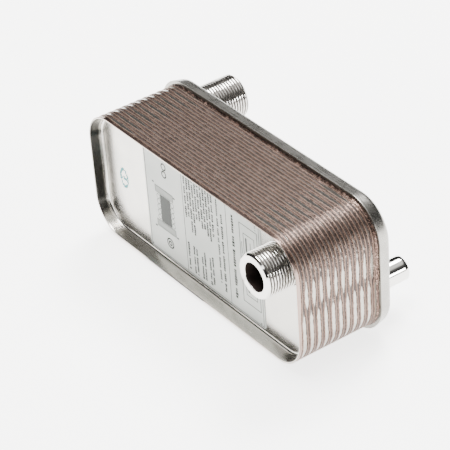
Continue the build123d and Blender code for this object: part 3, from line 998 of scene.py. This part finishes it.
# Right column: a title and a flow plan of nested frames with thick bars
ink.words(31.6, 27, -29, 2.7, 0.03)
ink.frame(37.6, -26.0, 53.6, 26.0, 0.5, 0.1)
ink.frame(40.8, -20.5, 50.8, 20.5, 0.45, 0.1)
for z in (13.5, -13.5):
    ink.bar(42.6, z - 4.5, 44.0, z + 4.5, 0.15)
    ink.bar(46.6, z - 3.0, 47.4, z + 3.0, 0.35)
ink.bar(39.0, 6.0, 39.5, 14.0, 0.1)
ink.words(52.2, 31.5, 26.9, 1.4, 0.3)
chips("label_ink", ink.boxes, ink.shades, label_low.y, INK + 0.01, print_finish.material,
      "label_film")
print(len(ink.boxes), "chips of ink on the label")

# %% [markdown]
# An inspector's stamp is a dotted oval of thin teal ink. The dots lie on a slanted grid, and a few
# are missing where the rubber did not touch.

# %% Stamp
stamp_low, stamp_high = (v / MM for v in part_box("inspection_stamp"))
stamp_x, stamp_z = (stamp_low.x + stamp_high.x) / 2, (stamp_low.z + stamp_high.z) / 2 - CENTRE_Z
grid_x, grid_z = np.meshgrid(np.arange(-4, 4.1, 0.8), np.arange(-6.4, 6.5, 0.8))
grid_x = grid_x + 0.4 * (np.round(grid_z / 0.8) % 2)
oval = (grid_x / 4.2) ** 2 + (grid_z / 6.8) ** 2
shown = (oval < 1) & ((oval > 0.5) | (np.abs(grid_z) < 1.3)) & (rng.uniform(size=oval.shape) > 0.25)
dots = np.stack([stamp_x + grid_x[shown], stamp_z + grid_z[shown],
                 rng.uniform(0.34, 0.42, shown.sum()), rng.uniform(0.34, 0.42, shown.sum())], axis=-1)
chips("stamp_dots", dots, np.zeros(len(dots)), stamp_low.y, stamp_high.y - stamp_low.y,
      stamp_finish.material, "stamp_ink", "inspection_stamp")
print(len(dots), "dots in the stamp")

# %% [markdown]
# ## Studio
#
# Polished metal shows what stands around it. The table glows, as white paper does under strong lamps,
# so every wall that mirrors it turns bright. The room is the world's colour by height: dark near the
# horizon and bright overhead. That gives the steel its black and white bands.

# %% Floor
FLOOR_HALF = 6.0
TABLE_GLOW = 3.4
floor_mesh = bpy.data.meshes.new("studio_floor")
floor_corners = [(x * FLOOR_HALF, y * FLOOR_HALF, 0) for x, y in ((-1, -1), (1, -1), (1, 1), (-1, 1))]
floor_mesh.from_pydata(floor_corners, [], [(0, 1, 2, 3)])
floor = bpy.data.objects.new("studio_floor", floor_mesh)
bpy.context.collection.objects.link(floor)
PAPER = (0.93, 0.93, 0.92)
floor_finish = Finish("studio_paper", PAPER, 0.9, metallic=0.0)
paper_tone = floor_finish.spread(floor_finish.noise(60.0), 0.0, 1.0)
floor_finish.color(floor_finish.blend(paper_tone, PAPER, (0.95, 0.95, 0.94)))
floor_finish.shader.inputs["Emission Color"].default_value = (1.0, 0.995, 0.98, 1)
floor_finish.shader.inputs["Emission Strength"].default_value = TABLE_GLOW
floor_mesh.materials.append(floor_finish.material)

# %% Room light
world = bpy.data.worlds.new("studio_room")
world.use_nodes = True
nodes, links = world.node_tree.nodes, world.node_tree.links
direction = nodes.new("ShaderNodeTexCoord").outputs["Generated"]
split = nodes.new("ShaderNodeSeparateXYZ")
links.new(direction, split.inputs[0])
by_height = nodes.new("ShaderNodeValToRGB")
# Each step is (height, level); the height runs from 0 straight down over 0.5 at the horizon to 1.
room_steps = ((0.0, 0.02), (0.5, 0.02), (0.6, 0.03), (0.72, 0.04), (0.84, 0.13), (0.9, 1.4), (1.0, 2.2))
ramp = by_height.color_ramp
while len(ramp.elements) < len(room_steps):
    ramp.elements.new(0.5)
for element, (place, level) in zip(ramp.elements, room_steps):
    element.position = place
    element.color = (level, level, level * 0.98, 1)
height = nodes.new("ShaderNodeMapRange")
height.inputs["From Min"].default_value = -1.0
links.new(split.outputs["Z"], height.inputs["Value"])
links.new(height.outputs["Result"], by_height.inputs["Fac"])
links.new(by_height.outputs["Color"], nodes["Background"].inputs["Color"])
nodes["Background"].inputs["Strength"].default_value = 1.0
bpy.context.scene.world = world

# %% Softboxes


def softbox(name, place, target, size, power):
    """A square area light at a place, turned to a target."""
    light = bpy.data.lights.new(name, "AREA")
    light.size, light.energy = size, power
    lamp = bpy.data.objects.new(name, light)
    lamp.location = place
    lamp.rotation_euler = (Vector(target) - Vector(place)).to_track_quat("-Z", "Y").to_euler()
    bpy.context.collection.objects.link(lamp)


PACK_MIDDLE = (0, 0, 0.04)
softbox("rear_softbox", (-0.6, 0.95, 1.7), PACK_MIDDLE, 0.8, 80)
softbox("top_softbox", (-0.2, -0.3, 2.0), PACK_MIDDLE, 0.8, 50)
softbox("front_softbox", (0.1, -1.9, 0.75), PACK_MIDDLE, 0.8, 10)
softbox("right_softbox", (1.6, 0.9, 0.5), PACK_MIDDLE, 0.4, 14)

# %% [markdown]
# Two black cards lie on the table in front of the tray. They are kept out of the picture, and only
# the steel sees them: the tray's left end turns darker, as beside a flag.

# %% Black cards
card_mesh = bpy.data.meshes.new("black_card")
card_spots = ((-0.052, -0.095, 0.005, -0.038), (-0.100, -0.140, -0.054, -0.094))
CARD_LIFT = 0.0004
card_corners = [(x, y, CARD_LIFT) for x0, y0, x1, y1 in card_spots
                for x, y in ((x0, y0), (x1, y0), (x1, y1), (x0, y1))]
card_mesh.from_pydata(card_corners, [], [(0, 1, 2, 3), (4, 5, 6, 7)])
card = bpy.data.objects.new("black_card", card_mesh)
bpy.context.collection.objects.link(card)
card_finish = Finish("black_card", (0.01, 0.01, 0.01), 0.9, metallic=0.0)
card_mesh.materials.append(card_finish.material)
card.visible_camera = card.visible_diffuse = card.visible_shadow = False
